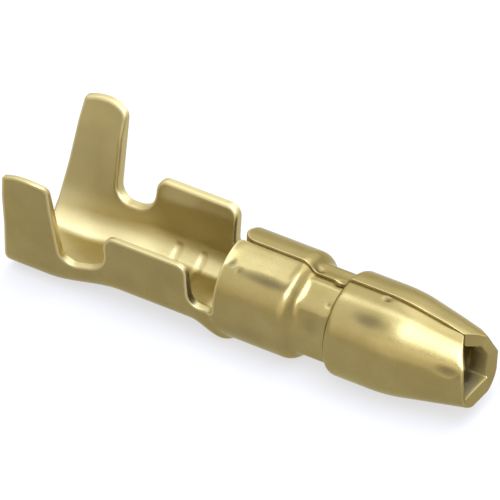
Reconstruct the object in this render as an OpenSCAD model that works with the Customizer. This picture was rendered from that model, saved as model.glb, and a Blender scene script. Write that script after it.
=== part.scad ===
// Crimp pin contact: a male bullet contact stamped and rolled from one strip of brass sheet.
// X runs along the contact with the tip at +X, Z is up, and the contact lies on z = 0 on its floor.

/* [Sheet] */
// Thickness of the brass sheet
sheet_t = 0.4; // [0.3:0.01:0.5]
// Width of the open seam along the top of the rolled tube
seam_gap = 0.1; // [0.06:0.01:0.3]

/* [Bullet] */
// Outer radius of the cylindrical part of the bullet
bullet_r = 1.98; // [1.8:0.01:2.2]
// Length of the cylindrical part of the bullet, without its rear edge radius
bullet_cyl_l = 1.4; // [1:0.05:3]
// Radius of the rear edge of the bullet
shoulder_edge_r = 0.28; // [0.05:0.01:0.3]
// Length of the curved lead-in ahead of the cylindrical part
nose_curve_l = 1.25; // [0.8:0.05:2]
// Length of the straight tapered nose
nose_taper_l = 2.55; // [1.8:0.05:3.5]
// Half angle of the tapered nose in degrees
nose_angle = 11.2; // [6:0.1:14]

/* [Tip] */
// Length over which the mouth of the tip is pressed to six flats
mouth_l = 0.75; // [0.4:0.05:1.2]
// Depth of each flat at the rim of the tip
mouth_flat_depth = 0.07; // [0.04:0.005:0.12]
// Slope of each outer flat beyond the taper of the nose, in degrees
mouth_flat_slope = 8; // [5:0.5:14]
// Turn of the six flats round the axis, in degrees
mouth_turn = 12; // [0:1:59]
// How far the inner edge of the rim lies behind its outer edge
rim_back = 0.14; // [0.05:0.01:0.2]

/* [Neck ring] */
// Outer radius of the reduced ring between collar and bullet
ring_r = 1.7; // [1.55:0.01:1.75]
// Length of the reduced ring
ring_l = 1.45; // [1:0.05:2.5]
// Number of pressed facets round the ring
ring_facets = 9; // [6:1:12]
// Depth of the pressed facets
ring_facet_depth = 0.08; // [0.04:0.01:0.12]

/* [Collar] */
// Outer radius of the rear collar
collar_r = 2.03; // [1.95:0.01:2.3]
// Length of the collar, front curve included
collar_l = 3.13; // [2.5:0.05:5]
// Radius of the rear corner of the far flap beside the seam
flap_corner_r = 0.5; // [0.2:0.05:0.6]
// Radius of the curve at the front of the collar
collar_front_r = 0.5; // [0.3:0.05:0.6]

/* [Neck strip] */
// Length of the open strip between the collar and the conductor wings
strip_l = 1.3; // [1.1:0.05:2.5]
// Height of the strip edges measured from the tube axis
strip_edge_z = -0.25; // [-0.8:0.05:0.2]
// Radius of the strip cut at the foot of the wings
strip_cut_r = 0.45; // [0.2:0.05:0.5]
// Flat half width of the pad under the strip
pad_flat = 0.5; // [0.3:0.05:0.7]
// Bend radius beside the pad
pad_bend_r = 1.32; // [1.2:0.01:1.4]
// Length of the pad along the contact
pad_l = 0.2; // [0.1:0.05:0.4]
// How far the pad and the floor of the ears stand proud of the collar
pad_proud = 0.02; // [0.02:0.01:0.1]
// How far the pad blends onto the collar
pad_blend_l = 0.45; // [0.3:0.05:0.8]

/* [Conductor barrel] */
// Length of the conductor wings
wing_l = 3.5; // [3:0.1:6]
// Height of the wing tips above the tube axis
wing_top_z = 1.46; // [1:0.05:2.5]
// Radius of the wing corners
wing_corner_r = 0.45; // [0.2:0.05:0.8]
// Flat half width of the conductor floor
wing_flat = 0.6; // [0.4:0.05:0.8]
// Bend radius of the conductor barrel, outside
wing_bend_r = 1.3; // [1.1:0.01:1.45]
// Rise of the conductor floor above the surface that the contact lies on
wing_floor_rise = 0.5; // [0.2:0.05:0.6]
// Outward lean of the wings in degrees
wing_lean = 8; // [4:0.5:14]
// Number of coined serrations across the conductor floor
serration_n = 2; // [1:1:3]
// Pitch of the serrations
serration_pitch = 1.08; // [0.8:0.02:1.2]
// Width of a serration
serration_w = 0.26; // [0.15:0.01:0.35]
// Depth of a serration
serration_d = 0.1; // [0.05:0.01:0.14]
// Height of the upper ends of the serrations above the tube axis
serration_top_z = 0.15; // [-0.4:0.05:0.5]

/* [Insulation barrel] */
// Length of the insulation ears at their tips
ear_l = 1.85; // [1.5:0.05:3]
// Height of the ear tips above the tube axis
ear_top_z = 3.35; // [2.4:0.05:4.5]
// Rise of the front corner of an ear above its rear corner
ear_top_rise = 0.12; // [0:0.01:0.3]
// Forward slope of the rear edge of an ear from the floor to its tip
ear_rake = 0.75; // [0.4:0.05:1]
// Radius of the front corner of an ear
ear_front_r = 0.55; // [0.3:0.05:0.8]
// Radius of the rear corner of an ear
ear_rear_r = 0.3; // [0.15:0.05:0.6]
// Height above the tube axis at which the rear edge of an ear turns towards the tail
ear_sweep_z = 0.6; // [0.2:0.05:1]
// Radius of that turn
ear_sweep_r = 2; // [1:0.1:3]
// Radius of the corner between the rear edge of an ear and the tail
tail_corner_r = 0.3; // [0.1:0.05:0.4]
// Flat half width of the insulation floor
ear_flat = 0.65; // [0.5:0.05:0.9]
// Bend radius of the insulation barrel, outside
ear_bend_r = 1.34; // [1.1:0.01:1.6]
// Outward lean of the ears in degrees
ear_lean = 14; // [8:0.5:20]
// Length of the notch between ears and wings
notch_l = 1.75; // [1.6:0.05:3]
// Height of the bottom of that notch measured from the tube axis
notch_z = -0.3; // [-0.8:0.05:0.2]
// Rise of that bottom from its ear side to its wing side
notch_rise = 0.25; // [0:0.05:0.3]
// Radius of the notch on its ear side
notch_ear_r = 0.95; // [0.5:0.05:1]
// Radius of the notch on its wing side
notch_wing_r = 0.5; // [0.3:0.05:0.55]

/* [Hidden] */
$fn = 64;
// Steps of one rounded corner of an outline and of one bend of a section
corner_n = 8;
bend_n = 12;
// Thickness of the slices at the ends of a blend
lap = 0.01;
// Room by which a cutting solid reaches past what it cuts
past = 1;

// Stations along the axis, measured back from the tip at x = 0
x_taper = -nose_taper_l;
x_cyl_front = x_taper - nose_curve_l;
x_shoulder = x_cyl_front - bullet_cyl_l - shoulder_edge_r;
x_collar_front = x_shoulder - ring_l;
x_collar = x_collar_front - collar_l;
x_wing_front = x_collar - strip_l;
x_wing_rear = x_wing_front - wing_l;
x_ear_front = x_wing_rear - notch_l;
x_ear_tip_rear = x_ear_front - ear_l;
x_tail = x_ear_tip_rear - ear_rake;
total_l = -x_tail;

// Levels measured from the tube axis
z_rest = -collar_r - pad_proud;
z_wing_floor = z_rest + wing_floor_rise;

// Radii along the nose
nose_slope = tan(nose_angle);
nose_curve_drop = nose_curve_l * tan(nose_angle / 2);
taper_r = bullet_r - nose_curve_drop;
tip_r = taper_r - nose_taper_l * nose_slope;
// Sheet thickness measured square to the axis on the tapered nose
taper_wall = sheet_t / cos(nose_angle);
mouth_bore_r = tip_r - taper_wall;
// Half the width across the flats of the pressed opening
mouth_half_w = mouth_bore_r - mouth_flat_depth;
mouth_flats = 6;

// Where the straight taper would meet the cylinder
x_nose_corner = x_cyl_front + nose_curve_l / (1 + cos(nose_angle));
// Length of the slope from the collar down to the ring
collar_slope_l = 0.25;
// Small radii at the foot of that slope and round the rim of the tip
ring_fillet_r = 0.2;
rim_edge_r = 0.06;
// How far the blends between sections reach past the edges of ears, wings and collar
ear_blend_back = 0.7;
wing_blend_in = 0.3;
strip_straight_l = 0.3;

// Sections of the open channel: flat half width, floor level, outer bend radius, lean of the wall
ear_section = [ear_flat, z_rest, ear_bend_r, ear_lean];
wing_section = [wing_flat, z_wing_floor, wing_bend_r, wing_lean];
pad_section = [pad_flat, z_rest, pad_bend_r, 0];
// A round bottom that lies inside the wall of the collar
seat_depth = 0.4 * sheet_t;
tube_section = [0, seat_depth - collar_r, collar_r - seat_depth, 0];

// Points of an arc about a centre
function arc(centre, r, from, to, n) =
    [for (i = [0:n]) let (a = from + (to - from) * i / n) [centre.x + r * cos(a), centre.y + r * sin(a)]];

function unit(v) = v / norm(v);

// Points that round one corner of an outline, where each point is [x, y, radius]
function corner(before, at, after) =
    at[2] == 0
        ? [[at.x, at.y]]
        : let (
            u = unit([before.x - at.x, before.y - at.y]),
            v = unit([after.x - at.x, after.y - at.y]),
            half = acos(u * v) / 2,
            centre = [at.x, at.y] + unit(u + v) * at[2] / sin(half),
            start = [at.x, at.y] + u * at[2] / tan(half) - centre,
            end = [at.x, at.y] + v * at[2] / tan(half) - centre,
            a = atan2(start.y, start.x),
            turn = atan2(end.y, end.x) - a,
            sweep = turn > 180 ? turn - 360 : turn < -180 ? turn + 360 : turn
        ) arc(centre, at[2], a, a + sweep, corner_n);

// Outline with each of its corners rounded
function rounded(points) =
    let (n = len(points))
    [for (i = [0:n - 1]) each corner(points[(i + n - 1) % n], points[i], points[(i + 1) % n])];

// Outline of one channel section filled to a level, as [y, z], with its skin moved in by a depth
function fill_outline(section, depth, top) =
    let (
        r = section[2] - depth,
        lean = section[3],
        right = arc([section[0], section[1] + section[2]], r, -90, -lean, bend_n),
        foot = right[bend_n],
        head = [foot.x + (top - foot.y) * tan(lean), top],
        half = concat(right, [head])
    ) concat(half, [for (i = [len(half) - 1:-1:0]) [-half[i].x, half[i].y]]);

// A filled channel section drawn out along X from one station to another
module channel_prism(section, depth, top, from, to) {
    translate([from, 0, 0])
        rotate([90, 0, 90])
            linear_extrude(to - from)
                polygon(fill_outline(section, depth, top));
}

// A straight stretch of channel
module channel(section, from, to, top) {
    difference() {
        channel_prism(section, 0, top, from, to);
        channel_prism(section, sheet_t, top + past, from - past, to + past);
    }
}

// A solid between two filled sections, level on top
module blend(section_a, section_b, depth, top, from, to) {
    hull() {
        channel_prism(section_a, depth, top, from, from + lap);
        channel_prism(section_b, depth, top, to - lap, to);
    }
}

// A stretch of channel that changes from one section to another
module channel_blend(section_a, section_b, from, to, top) {
    difference() {
        blend(section_a, section_b, 0, top, from, to);
        blend(section_a, section_b, sheet_t, top + past, from, to);
    }
}

// Side outline of the ears, notches, wings and strip, drawn as [x, z]
module side_outline() {
    below = z_rest - past;
    end = x_collar + pad_blend_l;
    polygon(rounded([
        [x_tail, below, 0],
        [x_tail, z_rest + ear_bend_r / 2, tail_corner_r],
        [x_tail + ear_rake / 2, ear_sweep_z, ear_sweep_r],
        [x_ear_tip_rear, ear_top_z, ear_rear_r],
        [x_ear_front, ear_top_z + ear_top_rise, ear_front_r],
        [x_ear_front, notch_z, notch_ear_r],
        [x_wing_rear, notch_z + notch_rise, notch_wing_r],
        [x_wing_rear, wing_top_z, wing_corner_r],
        [x_wing_front, wing_top_z, wing_corner_r],
        [x_wing_front, strip_edge_z, strip_cut_r],
        [end, strip_edge_z, 0],
        [end, below, 0]
    ]));
}

// The open rear part: ears, wings and the strip that carries them
module trough() {
    top = ear_top_z + ear_top_rise + past;
    x_ear_blend = x_ear_front - ear_blend_back;
    x_wing_blend = x_wing_rear + wing_blend_in;
    x_strip_blend = x_wing_front + strip_straight_l;
    x_pad = x_collar - pad_l;
    intersection() {
        union() {
            channel(ear_section, x_tail, x_ear_blend, top);
            channel_blend(ear_section, wing_section, x_ear_blend, x_wing_blend, top);
            channel(wing_section, x_wing_blend, x_strip_blend, top);
            channel_blend(wing_section, pad_section, x_strip_blend, x_pad, top);
            channel(pad_section, x_pad, x_collar, top);
            channel_blend(pad_section, tube_section, x_collar, x_collar + pad_blend_l, top);
        }
        rotate([90, 0, 0])
            linear_extrude(4 * ear_top_z, center = true)
                side_outline();
    }
}

// Coined serrations that run across the conductor floor and up its walls
module serrations() {
    x_mid = (x_wing_rear + x_wing_front) / 2;
    for (i = [0:serration_n - 1]) {
        x = x_mid + (i - (serration_n - 1) / 2) * serration_pitch;
        channel_prism(
            wing_section, sheet_t - serration_d, serration_top_z, x - serration_w / 2, x + serration_w / 2
        );
    }
}

// A profile of [x, radius] points turned round the X axis
module turned(points) {
    rotate([0, 90, 0])
        rotate_extrude($fn = 96)
            polygon([for (p = points) [p.y, p.x]]);
}

// Outside of the rolled tube from the collar to the tip
module tube_outside() {
    turned(rounded([
        [x_collar, 0, 0],
        [x_collar, collar_r, 0],
        [x_collar_front - collar_slope_l, collar_r, collar_front_r],
        [x_collar_front, ring_r, ring_fillet_r],
        [x_shoulder, ring_r, 0],
        [x_shoulder, bullet_r, shoulder_edge_r],
        [x_nose_corner, bullet_r, nose_curve_l / sin(nose_angle)],
        [0, tip_r, rim_edge_r],
        [-rim_back, mouth_half_w, 0],
        [-rim_back, 0, 0]
    ]));
}

// Inside of the rolled tube up to the pressed mouth
module tube_inside() {
    slope_back = sheet_t * tan(atan2(collar_r - ring_r, collar_slope_l) / 2);
    turned(rounded([
        [x_collar - lap, 0, 0],
        [x_collar - lap, collar_r - sheet_t, 0],
        [x_collar_front - collar_slope_l - slope_back, collar_r - sheet_t, 0],
        [x_collar_front - slope_back, ring_r - sheet_t, 0],
        [x_shoulder + sheet_t, ring_r - sheet_t, 0],
        [x_shoulder + sheet_t, bullet_r - sheet_t, 0],
        [x_nose_corner - sheet_t * tan(nose_angle / 2), bullet_r - sheet_t, 0],
        [-mouth_l, mouth_bore_r + mouth_l * nose_slope, 0],
        [-mouth_l, 0, 0]
    ]));
}

// The six-sided opening of the mouth and the six flats pressed on its outside
module mouth_cut() {
    rotate([mouth_turn, 0, 0]) {
        translate([-mouth_l - lap, 0, 0])
            rotate([0, 90, 0])
                cylinder(h = mouth_l + past, r = mouth_half_w / cos(180 / mouth_flats), $fn = mouth_flats);
        for (i = [0:mouth_flats - 1])
            rotate([360 / mouth_flats * i, 0, 0])
                translate([0, 0, tip_r - mouth_flat_depth])
                    rotate([0, nose_angle + mouth_flat_slope, 0])
                        translate([-2 * mouth_l, -bullet_r, 0])
                            cube([2 * mouth_l + past, 2 * bullet_r, past]);
    }
}

// Facets pressed into the reduced ring
module ring_cut() {
    from = x_collar_front + ring_fillet_r / 2;
    for (i = [0:ring_facets - 1])
        rotate([360 / ring_facets * i, 0, 0])
            translate([from, -ring_r, ring_r - ring_facet_depth])
                cube([x_shoulder - from, 2 * ring_r, past]);
}

// The open seam along the top of the tube
module seam_cut() {
    translate([x_collar - past, -seam_gap / 2, 0])
        cube([past - x_collar + past, seam_gap, collar_r + past]);
}

// The rounded rear corner of the far flap beside the seam
module flap_corner_cut() {
    linear_extrude(collar_r + past)
        difference() {
            translate([x_collar - past, 0])
                square([past + flap_corner_r, flap_corner_r]);
            translate([x_collar + flap_corner_r, flap_corner_r])
                circle(flap_corner_r);
        }
}

module pin_contact() {
    color([0.78, 0.68, 0.42])
        translate([total_l / 2, 0, -z_rest])
            difference() {
                union() {
                    trough();
                    tube_outside();
                }
                tube_inside();
                mouth_cut();
                ring_cut();
                seam_cut();
                flap_corner_cut();
                serrations();
            }
}

pin_contact();
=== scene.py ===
import math

import bpy
import numpy as np
from mathutils import Matrix, Vector
from mathutils.geometry import delaunay_2d_cdt

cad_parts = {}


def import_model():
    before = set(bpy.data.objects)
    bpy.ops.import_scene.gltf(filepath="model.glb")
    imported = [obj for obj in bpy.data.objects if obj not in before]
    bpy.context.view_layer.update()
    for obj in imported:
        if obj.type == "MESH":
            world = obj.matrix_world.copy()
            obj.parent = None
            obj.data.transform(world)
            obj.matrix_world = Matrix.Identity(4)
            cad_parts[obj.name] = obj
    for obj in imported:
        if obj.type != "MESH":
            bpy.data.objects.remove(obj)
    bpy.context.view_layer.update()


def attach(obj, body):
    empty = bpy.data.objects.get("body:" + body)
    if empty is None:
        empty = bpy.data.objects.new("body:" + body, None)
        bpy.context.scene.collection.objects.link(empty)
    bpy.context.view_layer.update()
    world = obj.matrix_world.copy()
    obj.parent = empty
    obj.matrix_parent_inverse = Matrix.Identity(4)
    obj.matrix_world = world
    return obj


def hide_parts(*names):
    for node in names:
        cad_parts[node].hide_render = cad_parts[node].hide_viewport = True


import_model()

MM = 0.001

# Sizes are in millimetres, with the tip at x = 0 and the tube's axis at y = z = 0.
# The near side is -y, the far side is +y, and a turn is measured from the top towards the far side.
# A share of the sheet's depth says how much the inside of the tube differs from its outside.

# Sheet and seam
SHEET_T = 0.4
SEAM_GAP = 0.015
SEAM_CUT_BACK = 0.6
SEAM_CUT_FAR = math.radians(26)
SEAM_CUT_NEAR = math.radians(50)
SEAM_CUT_R = 0.12
SEAM_CLEAR_OF_FLAP = 0.05
SEAM_CLEAR_OF_CUT = 0.15
SEAM_STEP = 0.05
SEAM_STEP_W = 0.4
SEAM_STEP_NEAR_SHARE = -0.45
FLAP_RISE = 0.04
FLAP_RISE_W = 2.0
STEP_FADE_FROM = -1.5
STEP_FADE_TO = -0.3

# Bullet and nose
BULLET_R = 1.98
BULLET_CYL_L = 1.4
SHOULDER_EDGE_R = 0.28
SHOULDER_CORNER_R = 0.8 * SHOULDER_EDGE_R
SHOULDER_FOOT_R = 0.05
SHOULDER_SHIFT_SHARE = 0.9
SHOULDER_INNER_L = 0.25
NOSE_CURVE_L = 1.25
NOSE_TAPER_L = 2.55
NOSE_ANGLE = math.radians(11.2)
TIP_BACK = 0.013
TIP_BULGE = 0.13
TIP_BULGE_TURN = math.radians(150)
TIP_BULGE_W = 0.75
TIP_BULGE_L = 2.2

# Mouth
MOUTH_L = 0.75
MOUTH_INNER_BEFORE = 0.35
MOUTH_INNER_AFTER = 0.1
MOUTH_CORNER_R = 0.5
MOUTH_FLAT_SLOPE = math.radians(16)
MOUTH_FLAT_SOFT = 0.025
BORE_FLAT_SOFT = 0.02
FLAT_LEAST_COS = 0.3
RIM_BACK = 0.14

# Six flats at the mouth: turn in degrees, distances of outside and bore from the axis
MOUTH_FLATS = (
    (-30, 1.25, 0.85),
    (-90, 1.18, 0.78),
    (-178, 1.32, 0.84),
    (98, 1.31, 0.88),
    (60, 1.15, 0.79),
    (12, 1.28, 0.88),
)

# Ring
RING_R = 1.7
RING_L = 1.45
RING_FACETS = 9
RING_FACET_DEPTH = 0.08
RING_TURN = math.radians(12)
RING_FILLET_R = 0.2
RING_FILLET_GROWTH_SHARE = 0.3
RING_FAR_WEAKENING = 0.8
RING_FAR_WEAK_FROM = (0.3, 1.0)
RING_FAR_WEAK_TO = (1.2, 1.8)
PRESS_SOFT = 0.03

# Collar
COLLAR_R = 2.03
COLLAR_L = 3.13
COLLAR_SLOPE_L = 0.25
COLLAR_FRONT_R = 0.5
COLLAR_FRONT_LOSS_SHARE = 0.7
COLLAR_FLAT_TURN = math.radians(-19)
COLLAR_FLAT_DEPTH = 0.09
COLLAR_FLAT_REACH = 1.2
FLAP_CORNER_R = 0.65
FLAP_NEAR_CORNER_R = 0.2

# Neck strip and the pad below it
STRIP_L = 1.3
STRIP_EDGE_Z = -0.25
STRIP_CUT_R = 0.45
STRIP_END_L = 0.35
NECK_CORNER_R = 0.3
PAD_PROUD = 0.02

# Wings
WING_L = 3.5
WING_TOP_Z = 1.46
WING_CORNER_R = 0.45
WING_NEAR_REAR_CUT = 0.12
WING_NEAR_FRONT_L = 0.2
WING_FLOOR_RISE = 0.5
WING_THIN = 0.25
WING_THIN_L = 0.7
SERRATION_PITCH = 1.08
SERRATION_W = 0.26
SERRATION_D = 0.035
SERRATION_TOP_Z = -0.7
SERRATION_FLANK = (-0.05, 0.04)
SERRATION_END = (-0.1, 0.05)

# Ears
EAR_L = 1.93
EAR_TOP_Z = 3.21
EAR_ARCH = 0.335
EAR_ARCH_R = 2.0
EAR_RAKE = 0.67
EAR_FRONT_R = 0.35
EAR_REAR_R = 0.18
EAR_BEND_R = 1.34
EAR_WAIST_Z = 0.6
EAR_WAIST_R = 2
EAR_THIN = 0.35
EAR_THIN_L = 1.1
THIN_OUTSIDE_FAR = 0.1
THIN_OUTSIDE_NEAR = 0.7
TAIL_EDGE_RISE = 0.3
TAIL_CORNER_R = 0.3

# Notches between ears and wings
NOTCH_L = 1.75
NOTCH_Z = -0.4
NOTCH_FAR_HIGHER = 0.2
NOTCH_RISE_FAR = 0.22
NOTCH_RISE_NEAR = 0.48
NOTCH_EAR_R = 0.55
NOTCH_WING_R = 0.95

# Stations along the axis
X_TAPER = -NOSE_TAPER_L
X_CYL_FRONT = X_TAPER - NOSE_CURVE_L
X_SHOULDER = X_CYL_FRONT - BULLET_CYL_L - SHOULDER_EDGE_R
X_COLLAR_FRONT = X_SHOULDER - RING_L
X_COLLAR = X_COLLAR_FRONT - COLLAR_L
X_WING_FRONT = X_COLLAR - STRIP_L
X_WING_REAR = X_WING_FRONT - WING_L
X_EAR_FRONT = X_WING_REAR - NOTCH_L
X_EAR_TIP_REAR = X_EAR_FRONT - EAR_L
X_TAIL = X_EAR_TIP_REAR - EAR_RAKE
Z_REST = -COLLAR_R - PAD_PROUD

# Stretches along the axis in which one form changes into the next
EAR_TO_WING = (X_EAR_FRONT - 0.9, X_WING_REAR + 0.5)
WING_TO_PAD = (X_WING_FRONT + 0.05, X_COLLAR - 0.05)
CHANNEL_END = X_COLLAR + 0.6
COLLAR_FLAT_REAR = (X_COLLAR - 0.1, X_COLLAR + 0.5)
COLLAR_FLAT_FRONT = (X_COLLAR_FRONT - 0.6, X_COLLAR_FRONT - 0.2)
RING_PRESS_REAR = (X_COLLAR_FRONT - 0.02, X_COLLAR_FRONT + 0.25)
RING_PRESS_FRONT = (X_SHOULDER - 0.1, X_SHOULDER)

# The channel closes into the tube earlier at its walls than at its floor, and earliest at the flaps
CLOSING = (X_COLLAR - 0.4, X_COLLAR + 0.1)
CLOSING_FLAP = (X_COLLAR - 0.5, X_COLLAR - 0.2)
CLOSING_FLOOR_DELAY = 0.4
FLOOR_TO_WALL_W = (1.2, 2.4)
WALL_TO_FLAP_W = (2.6, 3.2)

# Sections of the channel: flat half width, floor level, outer bend radius, lean of the far and near walls
EAR_SECTION = (0.65, Z_REST, EAR_BEND_R, math.radians(14.2), math.radians(11))
WING_SECTION = (0.6, Z_REST + WING_FLOOR_RISE, 1.3, math.radians(9), math.radians(3))
PAD_SECTION = (0.5, Z_REST, 1.32, 0.0, 0.0)

# Dents and pits: place along the tube, turn in degrees, depth, half length, half width, and the share of
# the dark tone painted there as dark reflection and shade
DENTS = (
    (-8.2, -37, 0.03, 1.1, 0.2, 0.95),
    (-3.92, -37, 0.04, 0.68, 0.25, 0.85),
    (-3.68, -5, 0.05, 0.16, 0.14, 0.8),
    (-6.81, 7, 0.08, 0.16, 0.14, 1.0),
    (-5.76, -2, 0.1, 0.2, 0.16, 1.0),
    (-5.73, -35, 0.03, 0.09, 0.09, 0.8),
    (-9.78, -33, 0.04, 0.2, 0.2, 0.8),
    (-9.35, -37, 0.03, 0.14, 0.12, 0.8),
    (-6.2, -68, 0.02, 0.3, 0.4, 0.35),
    (-0.55, -62, 0.03, 0.45, 0.18, 0.8),
    # No dent, only the dark tone on the collar's lower near side, which is painted shade
    (-8.6, -108, 0, 1.5, 0.6, 0.3),
)
DENT_SHARPNESS = 1.5

# Cut edges: radius outside, roll inside, how much crisper at the seam, how far the inside falls short
EDGE_R = 0.05
ROLL_R = 0.13
SEAM_SHARPNESS = 0.6
LEAN_CUT = 0.0155
CRISP_SEAM_X = (X_COLLAR, X_COLLAR + 0.5)
CRISP_SEAM_W = (2, 4)

# Fineness of the mesh: spacing of its points, steps round corners and cut edges, a hair off line
GRID = 0.082
GRID_MARGIN = 0.65 * GRID
EDGE_STEPS = 4
CORNER_STEPS = 12
PROFILE_SPLITS = 8
SEAM_POINTS = 120
HAIR = 0.0005
MERGE_DISTANCE = 1e-7
PROBE = 0.002
BISECTIONS = 40
WIDEST_HALF_BLANK = 9.0

# Tones of the brass, each with darker and lighter patches
TONE_OUTSIDE = ((0.25, 0.186, 0.058), (0.295, 0.226, 0.080))
# Painted light: the inside is painted paler than the outside
TONE_INSIDE_PAINTED_LIGHT = ((0.375, 0.296, 0.118), (0.41, 0.325, 0.133))
# Painted highlight and painted light
TONE_PAINTED_HIGHLIGHT = ((0.62, 0.52, 0.25), (0.68, 0.57, 0.28))
# Painted dark reflection and shade at the dents
TONE_PAINTED_DARK = ((0.11, 0.082, 0.028), (0.13, 0.097, 0.036))
PATCH_RANGE = (0.35, 0.65)

# Roughness of the outside and of the inside
POLISHED = (0.24, 0.33)
DULL = (0.40, 0.48)
GRAIN_RANGE = (0.3, 0.7)

# Noises: size, detail, roughness
PATCH_NOISE = (2.2, 4, 0.55)
GRAIN_NOISE = (0.9, 5, 0.6)
PITTING_NOISE = (0.12, 3, 0.6)
PITTING_D = 0.01

# Share of the inside's tone, which is painted light: full on the bends, less on walls, floor and rim
WALL_TONE_W = (2.6, 3.6)
WALL_DARKER = 0.4
FLOOR_TONE_W = (0.7, 1.5)
FLOOR_DARKER = 0.6
WING_FLOOR_DARKER = 0.35
WING_FLOOR_X = (X_WING_REAR - 1, X_WING_REAR + 0.5)
RIM_PAINTED_LIGHT_SHARE = 0.8
DARK_FACE_W = (-4.2, -3.2)

# Share of the palest tone, a painted highlight: on the far bend below the ear, in the bore as painted
# light, and on the rim of the channel
BEND_FROM_W = (0.6, 1.3)
BEND_TO_W = (2.4, 3.4)
BEND_END_X = (X_WING_REAR - 0.4, X_WING_REAR + 0.8)
BEND_HIGHLIGHT_SHARE = 0.6
BORE_PAINTED_LIGHT_SHARE = 0.8
RIM_HIGHLIGHT_SHARE = 0.3
RIM_HIGHLIGHT_END_X = (X_COLLAR - 0.2, X_COLLAR + 0.3)

# Share of the dark tone on the outside of the channel, up to the tube, which makes it a little darker
CHANNEL_DARK_SHARE = 0.1
CHANNEL_DARK_END_X = (X_COLLAR - 0.4, X_COLLAR)

# Sockets of a Mix node that mixes colours
MIX_SHARE = 0
MIX_BELOW = 6
MIX_ABOVE = 7
MIX_COLOUR = 2

# Floor, world and lamps
FLOOR_HALF_M = 1.5
FLOOR_TONE = (0.62, 0.57, 0.5, 1)
FLOOR_WHITE = 0.65
WORLD_FILL = 0.15
WORLD_TONE = (1.0, 0.93, 0.82, 1)
LAMP_DISTANCE_M = 0.3
LAMP_AIM_Z = 2


def smoothstep(a, b, x):
    s = np.clip((x - a) / (b - a), 0, 1)
    return s * s * (3 - 2 * s)


def smooth_min(a, b, k):
    h = np.clip(0.5 + 0.5 * (b - a) / k, 0, 1)
    return b + (a - b) * h - k * h * (1 - h)


def bell(distance, width):
    return np.exp(-((distance / width) ** 2))


def rounded(points, steps):
    """Points of an open outline whose corners (x, y, radius) are rounded, ends kept."""
    out = []
    for i, (x, y, r) in enumerate(points):
        if r == 0 or i in (0, len(points) - 1):
            out.append((x, y))
            continue
        at = Vector((x, y))
        u = (Vector(points[i - 1][:2]) - at).normalized()
        v = (Vector(points[i + 1][:2]) - at).normalized()
        half = math.acos(max(-1, min(1, u.dot(v)))) / 2
        centre = at + (u + v).normalized() * (r / math.sin(half))
        start = at + u * (r / math.tan(half)) - centre
        end = at + v * (r / math.tan(half)) - centre
        a = math.atan2(start.y, start.x)
        turn = math.atan2(end.y, end.x) - a
        turn = (turn + math.pi) % (2 * math.pi) - math.pi
        for k in range(steps + 1):
            b = a + turn * k / steps
            out.append((centre.x + r * math.cos(b), centre.y + r * math.sin(b)))
    return np.array(out)


def resampled(points, step):
    """The same open outline with points at an even spacing of about one step."""
    points = np.asarray(points, float)
    run = np.concatenate(([0], np.cumsum(np.linalg.norm(np.diff(points, axis=0), axis=1))))
    count = max(2, int(math.ceil(run[-1] / step)) + 1)
    at = np.linspace(0, run[-1], count)
    return np.stack([np.interp(at, run, points[:, i]) for i in range(2)], axis=1)


def tube_profile(depth):
    """Profile (x, radius) of the tube at a depth below its outside, and the outer radius at its tip."""
    wall = depth / math.cos(NOSE_ANGLE)
    taper_r = BULLET_R - NOSE_CURVE_L * math.tan(NOSE_ANGLE / 2)
    tip_r = taper_r - NOSE_TAPER_L * math.tan(NOSE_ANGLE)
    x_nose = X_CYL_FRONT + NOSE_CURVE_L / (1 + math.cos(NOSE_ANGLE))
    slope = math.atan2(COLLAR_R - RING_R, COLLAR_SLOPE_L)
    back = depth * math.tan(slope / 2)
    shift = SHOULDER_SHIFT_SHARE * depth
    soften = SHOULDER_INNER_L if depth else 0
    nose_r = NOSE_CURVE_L / math.sin(NOSE_ANGLE) - depth
    collar_front_r = COLLAR_FRONT_R - depth * COLLAR_FRONT_LOSS_SHARE
    ring_fillet_r = RING_FILLET_R + depth * RING_FILLET_GROWTH_SHARE
    corners = rounded([
        (X_COLLAR, COLLAR_R - depth, 0),
        (X_COLLAR_FRONT - COLLAR_SLOPE_L - back, COLLAR_R - depth, collar_front_r),
        (X_COLLAR_FRONT - back, RING_R - depth, ring_fillet_r),
        (X_SHOULDER + shift, RING_R - depth, SHOULDER_FOOT_R),
        (X_SHOULDER + shift + soften, BULLET_R - depth, SHOULDER_CORNER_R),
        (x_nose - depth * math.tan(NOSE_ANGLE / 2), BULLET_R - depth, nose_r),
        (-TIP_BACK, tip_r - wall, 0),
    ], CORNER_STEPS)
    fine = []
    for a, b in zip(corners[:-1], corners[1:]):
        for k in range(PROFILE_SPLITS):
            fine.append(a + (b - a) * k / PROFILE_SPLITS)
    fine.append(corners[-1])
    return np.array(fine), tip_r


# Profiles of the tube outside and inside, point for point, and the run along the outside
OUTER, TIP_R = tube_profile(0)
INNER, _ = tube_profile(SHEET_T)
U_RUN = X_COLLAR + np.concatenate(([0], np.cumsum(np.linalg.norm(np.diff(OUTER, axis=0), axis=1))))
U_MOUTH = U_RUN[-1]

# Stretches of the run just before the mouth
CRISP_MOUTH_U = (U_MOUTH - 0.5, U_MOUTH - 0.2)
DARK_FACE_U = (U_MOUTH - 0.75, U_MOUTH - 0.6)
BORE_TONE_U = (U_MOUTH - 4, U_MOUTH - 3)


def profile_at(profile, u):
    """Place along the axis and radius of a tube profile at a run u."""
    return [np.interp(u, U_RUN, profile[:, i]) for i in range(2)]


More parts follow.
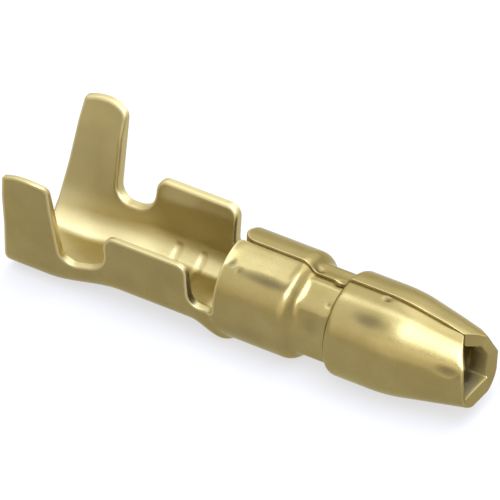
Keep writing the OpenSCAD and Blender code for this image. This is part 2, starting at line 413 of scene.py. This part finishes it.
def channel_point(section, w):
    """Half width and height of a channel section, w millimetres round from its middle."""
    flat, floor_z, bend, far_lean, near_lean = section
    t = np.abs(w)
    lean = np.where(w > 0, far_lean, near_lean)
    full = math.pi / 2 - lean
    a = np.clip((t - flat) / bend, 0, full)
    rest = np.maximum(t - flat - bend * full, 0)
    y = np.minimum(t, flat) + bend * np.sin(a) + rest * np.sin(lean)
    z = floor_z + bend * (1 - np.cos(a)) + rest * np.cos(lean)
    return np.sign(w) * y, z


def trough_surface(x, w):
    """Outside of the open channel, changing from section to section along its length."""
    to_wing = smoothstep(*EAR_TO_WING, x)
    to_pad = smoothstep(*WING_TO_PAD, x)
    ear = channel_point(EAR_SECTION, w)
    wing = channel_point(WING_SECTION, w)
    pad = channel_point(PAD_SECTION, w)
    yz = [e + (g - e) * to_wing + (p - g) * to_pad for e, g, p in zip(ear, wing, pad)]
    return np.stack([x, yz[0], yz[1]], axis=1)


def trough_pair(x, w):
    """Outside and inside of the channel, one sheet thickness apart, and the way in between."""
    out = trough_surface(x, w)
    along = trough_surface(x + PROBE, w) - trough_surface(x - PROBE, w)
    across = trough_surface(x, w + PROBE) - trough_surface(x, w - PROBE)
    n = np.cross(along, across)
    n /= np.linalg.norm(n, axis=1)[:, None]
    # Ears and wings are thinned towards their tops
    ear = EAR_THIN * smoothstep(EAR_TOP_Z - EAR_THIN_L, EAR_TOP_Z, out[:, 2])
    wing = WING_THIN * smoothstep(WING_TOP_Z - WING_THIN_L, WING_TOP_Z, out[:, 2])
    is_wing = smoothstep(X_EAR_FRONT, X_WING_REAR, x)
    thin = ear * (1 - is_wing) + wing * is_wing
    # The cut edges of the leaning walls are level, so the inside reaches less far round
    inside = trough_surface(x, w * (1 - LEAN_CUT * (1 - thin)))
    outside = thin * np.where(w > 0, THIN_OUTSIDE_FAR, THIN_OUTSIDE_NEAR)
    out = out + n * (SHEET_T * outside)[:, None]
    return out, inside + n * (SHEET_T * (1 - thin + outside))[:, None], n


def from_top_of(angle):
    """Turn from the top towards the far side, for an angle from the bottom."""
    return np.where(angle > 0, math.pi - angle, -math.pi - angle)


def dents(x, r, from_top):
    """Depth of the dents at a place of the tube, and how much painted dark reflection and shade it has."""
    depth = np.zeros_like(x)
    painted_dark = np.zeros_like(x)
    for dent_x, degrees, dent_depth, half_l, half_w, dent_dark in DENTS:
        across = (from_top - math.radians(degrees)) * r
        shape = np.exp(-(((x - dent_x) / half_l) ** 2 + (across / half_w) ** 2) ** DENT_SHARPNESS)
        depth += dent_depth * shape
        painted_dark = np.maximum(painted_dark, dent_dark * shape)
    return depth, painted_dark


def collar_press(x, r, from_top, angle):
    """Depth to which the near flap of the collar is pressed flat along the seam."""
    band = smoothstep(*COLLAR_FLAT_REAR, x) * (1 - smoothstep(*COLLAR_FLAT_FRONT, x))
    off = np.cos(np.clip(from_top - COLLAR_FLAT_TURN, -COLLAR_FLAT_REACH, COLLAR_FLAT_REACH))
    flat = smooth_min(r, (COLLAR_R - COLLAR_FLAT_DEPTH) / off, PRESS_SOFT)
    return (r - flat) * band * (angle < 0)


def ring_press(x, r, from_top, angle):
    """Depth of the facets pressed into the ring, weaker at its upper far side."""
    band = smoothstep(*RING_PRESS_REAR, x) * (1 - smoothstep(*RING_PRESS_FRONT, x))
    pitch = 2 * math.pi / RING_FACETS
    off = (angle - math.pi + RING_TURN + pitch / 2) % pitch - pitch / 2
    flat = smooth_min(r, (RING_R - RING_FACET_DEPTH) / np.cos(off), PRESS_SOFT)
    weak = smoothstep(*RING_FAR_WEAK_FROM, from_top) * (1 - smoothstep(*RING_FAR_WEAK_TO, from_top))
    return (r - flat) * band * (1 - RING_FAR_WEAKENING * weak)


def mouth_flats(x, r, from_top):
    """Outer radius and bore with the flats of the mouth, whose low far corner stands out."""
    off = np.angle(np.exp(1j * (from_top - TIP_BULGE_TURN)))
    r = r + TIP_BULGE * bell(off, TIP_BULGE_W) * smoothstep(-TIP_BULGE_L, 0, x)
    bore = np.full_like(r, TIP_R)
    for degrees, distance, bore_distance in MOUTH_FLATS:
        off = np.cos(from_top - math.radians(degrees))
        faces = off > FLAT_LEAST_COS
        off = np.maximum(off, FLAT_LEAST_COS)
        reach = distance - x * math.tan(NOSE_ANGLE + MOUTH_FLAT_SLOPE)
        r = np.where(faces, smooth_min(r, reach / off, MOUTH_FLAT_SOFT), r)
        bore = np.where(faces, smooth_min(bore, bore_distance / off, BORE_FLAT_SOFT), bore)
    return r, bore


def seam_lift(x, from_top, angle):
    """Height by which the far flap stands proud of the near one along the seam."""
    edge = np.abs(from_top) * COLLAR_R
    share = np.where(angle > 0, 1, SEAM_STEP_NEAR_SHARE)
    lift = SEAM_STEP * share * bell(edge, SEAM_STEP_W) + FLAP_RISE * (angle > 0) * bell(edge, FLAP_RISE_W)
    return lift * (1 - smoothstep(STEP_FADE_FROM, STEP_FADE_TO, x))


def tube_pair(u, w):
    """Outside and inside of the rolled tube."""
    angle = w / COLLAR_R
    x, r = profile_at(OUTER, u)
    x_in, r_in = profile_at(INNER, u)
    from_top = from_top_of(angle)
    for press_of in (collar_press, ring_press):
        press = press_of(x, r, from_top, angle)
        r = r - press
        r_in = r_in - press
    r, bore = mouth_flats(x, r, from_top)
    mouth = smoothstep(-MOUTH_L - MOUTH_INNER_BEFORE, -MOUTH_L + MOUTH_INNER_AFTER, x)
    r_in = r_in + (bore - r_in) * mouth
    x_in = x_in - RIM_BACK * smoothstep(-MOUTH_L, 0, x)
    lift = seam_lift(x, from_top, angle)
    r = r + lift
    r_in = r_in + lift
    r = r - dents(x, r, from_top)[0]
    s, c = np.sin(angle), np.cos(angle)
    out = np.stack([x, r * s, -r * c], axis=1)
    inside = np.stack([x_in, r_in * s, -r_in * c], axis=1)
    return out, inside


def serrations(inside):
    """Share of the full depth of the coined grooves across the floor between the wings."""
    total = np.zeros(len(inside))
    x_mid = (X_WING_REAR + X_WING_FRONT) / 2
    for side in (-0.5, 0.5):
        off = np.abs(inside[:, 0] - x_mid - side * SERRATION_PITCH) - SERRATION_W / 2
        groove = 1 - smoothstep(*SERRATION_FLANK, off)
        low, high = SERRATION_END
        groove *= 1 - smoothstep(SERRATION_TOP_Z + low, SERRATION_TOP_Z + high, inside[:, 2])
        total += groove
    return total


def closed_share(u, w):
    """How far the channel has closed into the tube at a place of the blank."""
    delay = CLOSING_FLOOR_DELAY * (1 - smoothstep(*FLOOR_TO_WALL_W, np.abs(w)))
    closed = smoothstep(CLOSING[0] + delay, CLOSING[1] + delay, u)
    flap = smoothstep(*WALL_TO_FLAP_W, np.abs(w)) * smoothstep(*CLOSING_FLAP, u)
    return (closed + (1 - closed) * flap)[:, None]


def sheet_pair(u, w):
    """Outside and inside of the whole formed sheet at a place (u, w) of its flat blank."""
    u = np.asarray(u, float)
    w = np.asarray(w, float)
    a_out, a_in, normal = trough_pair(np.minimum(u, CHANNEL_END), w)
    a_in = a_in - normal * (SERRATION_D * serrations(a_in))[:, None]
    b_out, b_in = tube_pair(np.maximum(u, X_COLLAR), w)
    before = np.minimum(u - X_COLLAR, 0)
    b_out[:, 0] += before
    b_in[:, 0] += before
    k = closed_share(u, w)
    return a_out + (b_out - a_out) * k, a_in + (b_in - a_in) * k


def height_to_blank(x, z, side):
    """Distance round the section at which the outside of the channel has a given height."""
    low = np.zeros_like(x)
    high = np.full_like(x, WIDEST_HALF_BLANK)
    for _ in range(BISECTIONS):
        mid = (low + high) / 2
        above = sheet_pair(x, side * mid)[0][:, 2] > z
        high = np.where(above, mid, high)
        low = np.where(above, low, mid)
    return (low + high) / 2


def channel_edge(side):
    """Edge of the blank from the tail round ear, notch and wing to the neck strip, as places (u, w)."""
    is_far = side > 0
    notch_z = NOTCH_Z + NOTCH_FAR_HIGHER * side
    notch_rise = NOTCH_RISE_FAR if is_far else NOTCH_RISE_NEAR
    wing_rear = X_WING_REAR + (0 if is_far else WING_NEAR_REAR_CUT)
    wing_front = X_WING_FRONT + (0 if is_far else WING_NEAR_FRONT_L)
    edge = rounded([
        (X_TAIL, Z_REST + TAIL_EDGE_RISE, 0),
        (X_TAIL, Z_REST + EAR_BEND_R / 2, TAIL_CORNER_R),
        (X_TAIL + EAR_RAKE / 2, EAR_WAIST_Z, EAR_WAIST_R),
        (X_EAR_TIP_REAR, EAR_TOP_Z, EAR_REAR_R),
        (X_EAR_FRONT - EAR_L / 2, EAR_TOP_Z + EAR_ARCH, EAR_ARCH_R),
        (X_EAR_FRONT, EAR_TOP_Z, EAR_FRONT_R),
        (X_EAR_FRONT, notch_z, NOTCH_EAR_R),
        (wing_rear, notch_z + notch_rise, NOTCH_WING_R),
        (wing_rear, WING_TOP_Z, WING_CORNER_R),
        (wing_front, WING_TOP_Z, WING_CORNER_R),
        (wing_front, STRIP_EDGE_Z, STRIP_CUT_R),
        (X_COLLAR - STRIP_END_L, STRIP_EDGE_Z, 0),
    ], CORNER_STEPS)
    edge = resampled(edge, GRID / 2)
    round_w = height_to_blank(edge[:, 0], edge[:, 1], side)
    return np.stack([edge[:, 0], round_w], axis=1)


def tube_edge(side, before, strip_w):
    """Edge of the blank from the neck strip along the seam to the middle of the mouth."""
    is_far = side > 0
    u_seam = np.linspace(X_COLLAR, U_MOUTH, SEAM_POINTS)
    r_seam = np.interp(u_seam, U_RUN, OUTER[:, 1])
    w_seam = (math.pi - SEAM_GAP / 2 / r_seam) * COLLAR_R
    first = X_COLLAR + FLAP_CORNER_R + SEAM_CLEAR_OF_FLAP
    last = U_MOUTH - SEAM_CUT_BACK - SEAM_CLEAR_OF_CUT
    straight = (u_seam > first) & (u_seam < last)
    corner = FLAP_CORNER_R if is_far else FLAP_NEAR_CORNER_R
    # The two corners at the mouth are cut back, the near one further round
    cut = SEAM_CUT_FAR if is_far else SEAM_CUT_NEAR
    points = [(before, strip_w, 0), (X_COLLAR, strip_w, NECK_CORNER_R), (X_COLLAR, w_seam[0], corner)]
    points += [(a, b, 0) for a, b in zip(u_seam[straight], w_seam[straight])]
    points.append((U_MOUTH - SEAM_CUT_BACK, w_seam[-1], SEAM_CUT_R))
    points.append((U_MOUTH, (math.pi - cut) * COLLAR_R, MOUTH_CORNER_R))
    points.append((U_MOUTH, 0, 0))
    return rounded(points, CORNER_STEPS)


def half_outline(side):
    """Edge of the blank from the middle of the tail round one side to the middle of the mouth."""
    body = channel_edge(side)
    tube = tube_edge(side, body[-2, 0], body[-1, 1])
    line = np.concatenate(([[X_TAIL, 0]], body[:-1], tube))
    line = resampled(line, GRID)
    line[:, 1] *= side
    return line


def signed_area(points):
    ahead = np.roll(points, -1, axis=0)
    return (points[:, 0] * ahead[:, 1] - ahead[:, 0] * points[:, 1]).sum()


def inset(points, distance):
    """The closed outline moved inwards."""
    ahead = np.roll(points, -1, axis=0) - points
    behind = points - np.roll(points, 1, axis=0)
    n = ahead / np.linalg.norm(ahead, axis=1)[:, None] + behind / np.linalg.norm(behind, axis=1)[:, None]
    n = np.stack([n[:, 1], -n[:, 0]], axis=1)
    n /= np.linalg.norm(n, axis=1)[:, None]
    return points - n * distance if signed_area(points) > 0 else points + n * distance


def grid_inside(outline, margin):
    """Grid points inside an outline, no nearer to it than a margin."""
    low, high = outline.min(axis=0), outline.max(axis=0)
    us = np.arange(low[0] + GRID / 2, high[0], GRID)
    rows = []
    a, b = outline, np.roll(outline, -1, axis=0)
    for i, u in enumerate(us):
        ws = np.arange(low[1] + (GRID / 2 if i % 2 else 0), high[1], GRID)
        crossing = (a[:, 0] > u) != (b[:, 0] > u)
        ca, cb = a[crossing], b[crossing]
        at = ca[:, 1] + (u - ca[:, 0]) / (cb[:, 0] - ca[:, 0]) * (cb[:, 1] - ca[:, 1])
        inside = (ws[:, None] > at[None, :]).sum(axis=1) % 2 == 1
        near = np.abs(outline[:, 0] - u) < 3 * margin
        p = np.stack([np.full_like(ws, u), ws], axis=1)[inside]
        if near.any() and len(p):
            gap = np.linalg.norm(p[:, None, :] - outline[near][None, :, :], axis=2).min(axis=1)
            p = p[gap > margin]
        rows.append(p)
    return np.concatenate(rows)


def edge_radii(outline):
    """Radius of the outer edge and of the inner roll at each point of the outline, crisper at the seam."""
    on_seam = smoothstep(*CRISP_SEAM_X, outline[:, :1]) * smoothstep(*CRISP_SEAM_W, np.abs(outline[:, 1:]))
    at_mouth = smoothstep(*CRISP_MOUTH_U, outline[:, :1])
    edge_r = EDGE_R * (1 - SEAM_SHARPNESS * on_seam)
    roll_r = ROLL_R * (1 - SEAM_SHARPNESS * np.maximum(on_seam, at_mouth))
    return edge_r, roll_r


def rim_levels(edge_r, roll_r):
    """Steps round the cut edge, from the outside to the inside: distance in from the outline, and depth."""
    levels = []
    for k in range(EDGE_STEPS + 1):
        a = math.pi / 2 * k / EDGE_STEPS
        levels.append((edge_r * (1 - math.sin(a)), edge_r * (1 - math.cos(a))))
    for k in range(EDGE_STEPS):
        a = math.pi / 2 * k / EDGE_STEPS
        levels.append((roll_r * (1 - math.cos(a)), SHEET_T - roll_r * (1 - math.sin(a))))
    return levels


def tone_shares(flat, outline, rim_rings):
    """Shares of the painted lighter inside tone, the painted highlight and the painted dark tone of
    reflection and shade at the points of outside, inside and rim, in that order.
    """
    count = len(flat)
    u, w = flat[:, 0], np.abs(flat[:, 1])
    shares = np.zeros((3, 2 * count + rim_rings * len(outline)))
    inner = slice(count, 2 * count)
    rim = slice(2 * count, None)

    # Painted light: the inside and the cut edges are painted paler than the outside, but less so on walls
    # and floor
    on_wall = smoothstep(*WALL_TONE_W, w) * (u < X_COLLAR)
    on_floor = (1 - smoothstep(*FLOOR_TONE_W, w)) * (u < X_COLLAR)
    floor_darker = FLOOR_DARKER + WING_FLOOR_DARKER * smoothstep(*WING_FLOOR_X, u)
    shares[0, inner] = 1 - WALL_DARKER * on_wall - floor_darker * on_floor
    # The mouth's face gets none of this painted light and is as dark as the outside, apart from its thin
    # near lip
    dark_face = smoothstep(*DARK_FACE_U, outline[:, 0]) * smoothstep(*DARK_FACE_W, outline[:, 1])
    shares[0, rim] = np.tile(RIM_PAINTED_LIGHT_SHARE * (1 - dark_face), rim_rings)

    # Painted highlight along the far bend, painted light in the bore and on the channel's rim
    bend = smoothstep(*BEND_FROM_W, flat[:, 1]) * (1 - smoothstep(*BEND_TO_W, flat[:, 1]))
    bend *= 1 - smoothstep(*BEND_END_X, u)
    in_bore = smoothstep(*BORE_TONE_U, u)
    shares[1, inner] = np.maximum(BEND_HIGHLIGHT_SHARE * bend, BORE_PAINTED_LIGHT_SHARE * in_bore)
    on_channel = 1 - smoothstep(*RIM_HIGHLIGHT_END_X, outline[:, 0])
    shares[1, rim] = np.tile(RIM_HIGHLIGHT_SHARE * on_channel, rim_rings)

    # The dents of the tube get painted dark reflection and shade, and the outside of the channel is a
    # little darker
    on_tube = smoothstep(*CHANNEL_DARK_END_X, u)
    x, r = profile_at(OUTER, u)
    painted_dark = dents(x, r, from_top_of(flat[:, 1] / COLLAR_R))[1]
    shares[2, :count] = CHANNEL_DARK_SHARE + (painted_dark - CHANNEL_DARK_SHARE) * on_tube
    return shares


def contact_mesh():
    """The formed sheet as one closed mesh: outside, inside, and a rounded rim between them."""
    outline = np.concatenate((half_outline(1), half_outline(-1)[-2:0:-1]))
    edge_r, roll_r = edge_radii(outline)
    # Every other point lies a hair further in, so that no three points of the ring are in line
    ring = inset(outline, roll_r + HAIR * (np.arange(len(outline)) % 2)[:, None])
    points = np.concatenate((ring, grid_inside(ring, GRID_MARGIN)))
    n = len(ring)
    edges = [(i, (i + 1) % n) for i in range(n)]
    corners = [Vector(p) for p in points]
    verts, _, faces, origin, _, _ = delaunay_2d_cdt(corners, edges, [], 1, MERGE_DISTANCE)
    place = {}
    for i, sources in enumerate(origin):
        for s in sources:
            place[s] = i
    flat = np.array([(v.x, v.y) for v in verts])
    count = len(flat)
    coords = list(sheet_pair(flat[:, 0], flat[:, 1]))
    polygons = []
    for f in faces:
        polygons.append(tuple(f))
        polygons.append(tuple(count + i for i in reversed(f)))

    levels = rim_levels(edge_r, roll_r)
    rings = [[place[i] for i in range(n)]]
    for k, (step_in, depth) in enumerate(levels):
        p = inset(outline, step_in)
        a, b = sheet_pair(p[:, 0], p[:, 1])
        coords.append(a + (b - a) * depth / SHEET_T)
        base = 2 * count + k * n
        rings.append(list(range(base, base + n)))
    rings.append([count + place[i] for i in range(n)])
    is_left_turning = signed_area(outline) > 0
    for first, second in zip(rings[:-1], rings[1:]):
        for i in range(n):
            j = (i + 1) % n
            quad = (first[i], second[i], second[j], first[j])
            polygons.append(quad if is_left_turning else quad[::-1])

    coords = (np.concatenate(coords) + [-X_TAIL / 2, 0, -Z_REST]) * MM
    mesh = bpy.data.meshes.new("pin_contact_sheet")
    mesh.from_pydata(coords.tolist(), [], polygons)
    shares = tone_shares(flat, outline, len(levels))
    # The three shares paint the inside lighter (and make it duller), paint highlights, and paint dark
    # reflection and shade
    for name, values in zip(("inside", "painted_highlight", "painted_dark"), shares):
        mesh.attributes.new(name, "FLOAT", "POINT").data.foreach_set("value", values)
    return mesh


def brass():
    material = bpy.data.materials.new("brass")
    material.use_nodes = True
    nodes = material.node_tree.nodes
    links = material.node_tree.links
    shader = nodes["Principled BSDF"]
    shader.inputs["Metallic"].default_value = 1.0
    shader.inputs["Coat Weight"].default_value = 0.25
    shader.inputs["Coat Roughness"].default_value = 0.16
    shader.inputs["Specular Tint"].default_value = (0.85, 0.78, 0.5, 1)
    place = nodes.new("ShaderNodeTexCoord")
    scale = nodes.new("ShaderNodeMapping")
    scale.inputs["Scale"].default_value = (1 / MM, 1 / MM, 1 / MM)
    links.new(place.outputs["Object"], scale.inputs["Vector"])

    def noise(size, detail, roughness):
        n = nodes.new("ShaderNodeTexNoise")
        n.inputs["Scale"].default_value = 1 / size
        n.inputs["Detail"].default_value = detail
        n.inputs["Roughness"].default_value = roughness
        links.new(scale.outputs["Vector"], n.inputs["Vector"])
        return n.outputs["Fac"]

    def ramp(source, stops, colours):
        r = nodes.new("ShaderNodeValToRGB")
        for element, stop, colour in zip(r.color_ramp.elements, stops, colours):
            element.position = stop
            element.color = (*colour, 1)
        links.new(source, r.inputs["Fac"])
        return r.outputs["Color"]

    def grey_ramp(source, stops, levels):
        return ramp(source, stops, [(level, level, level) for level in levels])

    def blend(name, below, above):
        share = nodes.new("ShaderNodeAttribute")
        share.attribute_name = name
        mix = nodes.new("ShaderNodeMix")
        mix.data_type = "RGBA"
        links.new(share.outputs["Fac"], mix.inputs[MIX_SHARE])
        links.new(below, mix.inputs[MIX_BELOW])
        links.new(above, mix.inputs[MIX_ABOVE])
        return mix.outputs[MIX_COLOUR]

    patches = noise(*PATCH_NOISE)
    tone = ramp(patches, PATCH_RANGE, TONE_OUTSIDE)
    # On the outside's own tone go the inside painted lighter, painted highlights, and painted dark
    # reflection and shade
    for name, colours in (("painted_dark", TONE_PAINTED_DARK), ("inside", TONE_INSIDE_PAINTED_LIGHT), ("painted_highlight", TONE_PAINTED_HIGHLIGHT)):
        tone = blend(name, tone, ramp(patches, PATCH_RANGE, colours))
    links.new(tone, shader.inputs["Base Color"])
    grain = noise(*GRAIN_NOISE)
    polished = grey_ramp(grain, GRAIN_RANGE, POLISHED)
    dull = grey_ramp(grain, GRAIN_RANGE, DULL)
    links.new(blend("inside", polished, dull), shader.inputs["Roughness"])
    bump = nodes.new("ShaderNodeBump")
    bump.inputs["Strength"].default_value = 0.12
    bump.inputs["Distance"].default_value = PITTING_D * MM
    links.new(noise(*PITTING_NOISE), bump.inputs["Height"])
    links.new(bump.outputs["Normal"], shader.inputs["Normal"])
    return material


def contact():
    mesh = contact_mesh()
    piece = bpy.data.objects.new("brass_contact", mesh)
    bpy.context.collection.objects.link(piece)
    mesh.materials.append(brass())
    for polygon in mesh.polygons:
        polygon.use_smooth = True
    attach(piece, "root")
    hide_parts("pin_contact")


def seen_directly(nodes, links):
    """1 for what the camera sees, itself or in a reflection or through glass."""
    path = nodes.new("ShaderNodeLightPath")
    seen = path.outputs["Is Camera Ray"]
    for kind in ("Is Glossy Ray", "Is Transmission Ray"):
        either = nodes.new("ShaderNodeMath")
        either.operation = "MAXIMUM"
        links.new(seen, either.inputs[0])
        links.new(path.outputs[kind], either.inputs[1])
        seen = either.outputs[0]
    return seen


def floor():
    half = FLOOR_HALF_M
    corners = [(-half, -half, 0), (half, -half, 0), (half, half, 0), (-half, half, 0)]
    mesh = bpy.data.meshes.new("floor")
    mesh.from_pydata(corners, [], [(0, 1, 2, 3)])
    obj = bpy.data.objects.new("floor", mesh)
    bpy.context.collection.objects.link(obj)
    material = bpy.data.materials.new("pale_floor")
    material.use_nodes = True
    nodes = material.node_tree.nodes
    links = material.node_tree.links
    shader = nodes["Principled BSDF"]
    shader.inputs["Base Color"].default_value = FLOOR_TONE
    shader.inputs["Roughness"].default_value = 0.9
    shader.inputs["Specular IOR Level"].default_value = 0.1
    white = nodes.new("ShaderNodeEmission")
    mix = nodes.new("ShaderNodeMixShader")
    share = nodes.new("ShaderNodeMath")
    share.operation = "MULTIPLY"
    share.inputs[1].default_value = FLOOR_WHITE
    links.new(seen_directly(nodes, links), share.inputs[0])
    links.new(share.outputs[0], mix.inputs[0])
    links.new(shader.outputs[0], mix.inputs[1])
    links.new(white.outputs[0], mix.inputs[2])
    links.new(mix.outputs[0], nodes["Material Output"].inputs["Surface"])
    mesh.materials.append(material)


def world():
    """White where it is seen, and a weak warm fill light on the object."""
    studio = bpy.data.worlds.new("studio")
    bpy.context.scene.world = studio
    studio.use_nodes = True
    nodes = studio.node_tree.nodes
    links = studio.node_tree.links
    background = nodes["Background"]
    direct = seen_directly(nodes, links)
    level = nodes.new("ShaderNodeMapRange")
    level.inputs["To Min"].default_value = WORLD_FILL
    level.inputs["To Max"].default_value = 1.0
    links.new(direct, level.inputs["Value"])
    links.new(level.outputs["Result"], background.inputs["Strength"])
    tint = nodes.new("ShaderNodeMix")
    tint.data_type = "RGBA"
    tint.inputs[MIX_BELOW].default_value = WORLD_TONE
    tint.inputs[MIX_ABOVE].default_value = (1, 1, 1, 1)
    links.new(direct, tint.inputs[MIX_SHARE])
    links.new(tint.outputs[MIX_COLOUR], background.inputs["Color"])


def lamp(name, toward, size, radiance, colour):
    """Soft lamp in a direction from the contact: sides of its face in metres, and that face's radiance."""
    middle = Vector((0, 0, LAMP_AIM_Z * MM))
    data = bpy.data.lights.new(name, "AREA")
    data.shape = "ELLIPSE"
    data.size, data.size_y = size
    data.energy = radiance * math.pi * math.pi * size[0] * size[1] / 4
    data.color = colour
    obj = bpy.data.objects.new(name, data)
    bpy.context.collection.objects.link(obj)
    d = Vector(toward).normalized()
    across = Vector((1, 0, 0))
    across = (across - d * across.dot(d)).normalized()
    turn = Matrix((across, d.cross(across), d)).transposed()
    obj.matrix_world = Matrix.Translation(middle + d * LAMP_DISTANCE_M) @ turn.to_4x4()


def camera():
    """Camera at the photo's viewing angle, in millimetres from the contact's tip."""
    azimuth = math.radians(34.112)
    elevation = math.radians(39.331)
    roll = math.radians(-2.296)
    distance = 306.1
    pixels_per_mm = 28.08
    aim_right = -8.169
    aim_up = 4.347
    image = 500
    sensor = 36.0
    back = Vector((
        math.sin(azimuth) * math.cos(elevation),
        -math.cos(azimuth) * math.cos(elevation),
        math.sin(elevation),
    ))
    level_right = Vector((math.cos(azimuth), math.sin(azimuth), 0))
    level_up = back.cross(level_right)
    right = level_right * math.cos(roll) + level_up * math.sin(roll)
    up = level_up * math.cos(roll) - level_right * math.sin(roll)
    target = right * aim_right + up * aim_up
    at = target + back * distance + Vector((-X_TAIL / 2, 0, -Z_REST))
    data = bpy.data.cameras.new("camera")
    data.sensor_fit = "HORIZONTAL"
    data.sensor_width = sensor
    data.lens = pixels_per_mm * distance * sensor / image
    data.clip_start = 0.01
    obj = bpy.data.objects.new("camera", data)
    bpy.context.collection.objects.link(obj)
    turn = Matrix((right, up, back)).transposed()
    obj.matrix_world = Matrix.Translation(at * MM) @ turn.to_4x4()
    bpy.context.scene.camera = obj


bpy.context.scene.view_settings.view_transform = "Standard"
camera()
floor()
world()
lamp("dome", (0, 0.15, 1), (1.9, 1.9), 0.75, (0.93, 1.035, 1.3))
lamp("key", (0.27, -0.28, 0.9), (0.22, 0.36), 6.5, (0.85, 1.04, 1.6))
lamp("strip", (-0.3, 0.08, 0.95), (0.4, 0.06), 2.8, (0.85, 1.04, 1.5))
lamp("far", (0.2, 0.62, 0.75), (0.3, 0.26), 1.4, (0.9, 1.0, 1.3))
lamp("near", (0.1, -0.9, 0.35), (0.4, 0.16), 0.8, (1.0, 0.98, 1.05))
contact()
